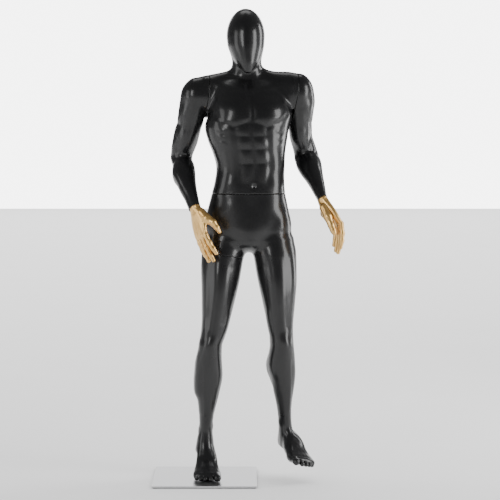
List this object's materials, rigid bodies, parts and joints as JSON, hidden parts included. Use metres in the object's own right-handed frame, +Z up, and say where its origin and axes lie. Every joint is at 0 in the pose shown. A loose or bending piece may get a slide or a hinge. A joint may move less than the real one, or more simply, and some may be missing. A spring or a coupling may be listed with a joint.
{
  "type": "full body mannequin",
  "caption": "Standing male display mannequin with a faceless egg head, moulded muscles, detachable arms, hands, torso and leg, on a square steel base plate.",
  "frame": {"origin": "centre of the base's underside, on the floor", "axes": "+Z up; the figure faces -Y, its own right side is at -X"},
  "size_m": [0.734, 0.4, 1.811],
  "materials": {
    "gloss_black": "high gloss black lacquer on glass fibre",
    "gold": "satin gold lacquer",
    "stainless": "brushed stainless steel",
    "zinc": "bright zinc plate",
    "board": "raw birch plywood",
    "rubber": "fine cell rubber sheet"
  },
  "bodies": {
    "base": {"base_pad": "rubber", "base_plate": "stainless", "spigot_screw": "zinc", "spigot_rod": "stainless"},
    "right_leg": {"right_leg_shell": "gloss_black", "ankle_socket": "zinc", "socket_grub_screw": "zinc", "right_thigh_board": "board", "right_thigh_peg": "zinc"},
    "lower_body": {"lower_body_shell": "gloss_black", "pelvis_thigh_board": "board", "pelvis_thigh_socket": "zinc", "waist_lower_disc": "zinc", "waist_lower_screw_1": "zinc", "waist_lower_screw_2": "zinc", "waist_lower_screw_3": "zinc", "pelvis_waist_board": "board"},
    "upper_body": {"upper_body_shell": "gloss_black", "waist_upper_disc": "zinc", "waist_upper_screw_1": "zinc", "waist_upper_screw_2": "zinc", "waist_upper_screw_3": "zinc", "torso_waist_board": "board", "torso_shoulder_disc_right": "zinc", "torso_shoulder_screw_right_1": "zinc", "torso_shoulder_screw_right_2": "zinc", "torso_shoulder_screw_right_3": "zinc", "torso_shoulder_board_right": "board", "torso_shoulder_disc_left": "zinc", "torso_shoulder_screw_left_1": "zinc", "torso_shoulder_screw_left_2": "zinc", "torso_shoulder_screw_left_3": "zinc", "torso_shoulder_board_left": "board"},
    "right_arm": {"right_arm_shell": "gloss_black", "right_arm_stud": "zinc", "right_arm_screw_1": "zinc", "right_arm_screw_2": "zinc", "right_arm_screw_3": "zinc", "right_arm_board": "board", "right_wrist_plug": "board", "right_wrist_bush": "zinc"},
    "right_hand": {"right_hand": "gold", "right_hand_stud": "zinc"},
    "left_arm": {"left_arm_shell": "gloss_black", "left_arm_stud": "zinc", "left_arm_screw_1": "zinc", "left_arm_screw_2": "zinc", "left_arm_screw_3": "zinc", "left_arm_board": "board", "left_wrist_plug": "board", "left_wrist_bush": "zinc"},
    "left_hand": {"left_hand": "gold", "left_hand_stud": "zinc"}
  },
  "joints": [
    {"name": "leg_lift", "type": "slide", "parent": "base", "child": "right_leg", "axis": [0, 0, 1], "range_m": [0, 0.12]},
    {"name": "thigh_lift", "type": "slide", "parent": "right_leg", "child": "lower_body", "axis": [0.1902, 0.04, 0.9809], "range_m": [0, 0.055]},
    {"name": "waist_turn", "type": "hinge", "parent": "lower_body", "child": "upper_body", "pos_m": [0.168, 0.012, 1.109], "axis": [0, 0, 1], "range_deg": [-8, 20]},
    {"name": "right_shoulder", "type": "hinge", "parent": "upper_body", "child": "right_arm", "pos_m": [0.007, 0.022, 1.487], "axis": [-0.9759, -0.195, 0.098], "range_deg": [0, 60]},
    {"name": "left_shoulder", "type": "hinge", "parent": "upper_body", "child": "left_arm", "pos_m": [0.344, 0.024, 1.49], "axis": [-0.9701, -0.213, 0.116], "range_deg": [-40, 60]},
    {"name": "right_wrist", "type": "hinge", "parent": "right_arm", "child": "right_hand", "pos_m": [-0.036, -0.075, 1.056], "axis": [0.2118, -0.6798, -0.7021], "range_deg": [-40, 5]},
    {"name": "left_wrist", "type": "hinge", "parent": "left_arm", "child": "left_hand", "pos_m": [0.451, -0.062, 1.086], "axis": [0.2602, -0.6966, -0.6686], "range_deg": [-40, 40]}
  ]
}
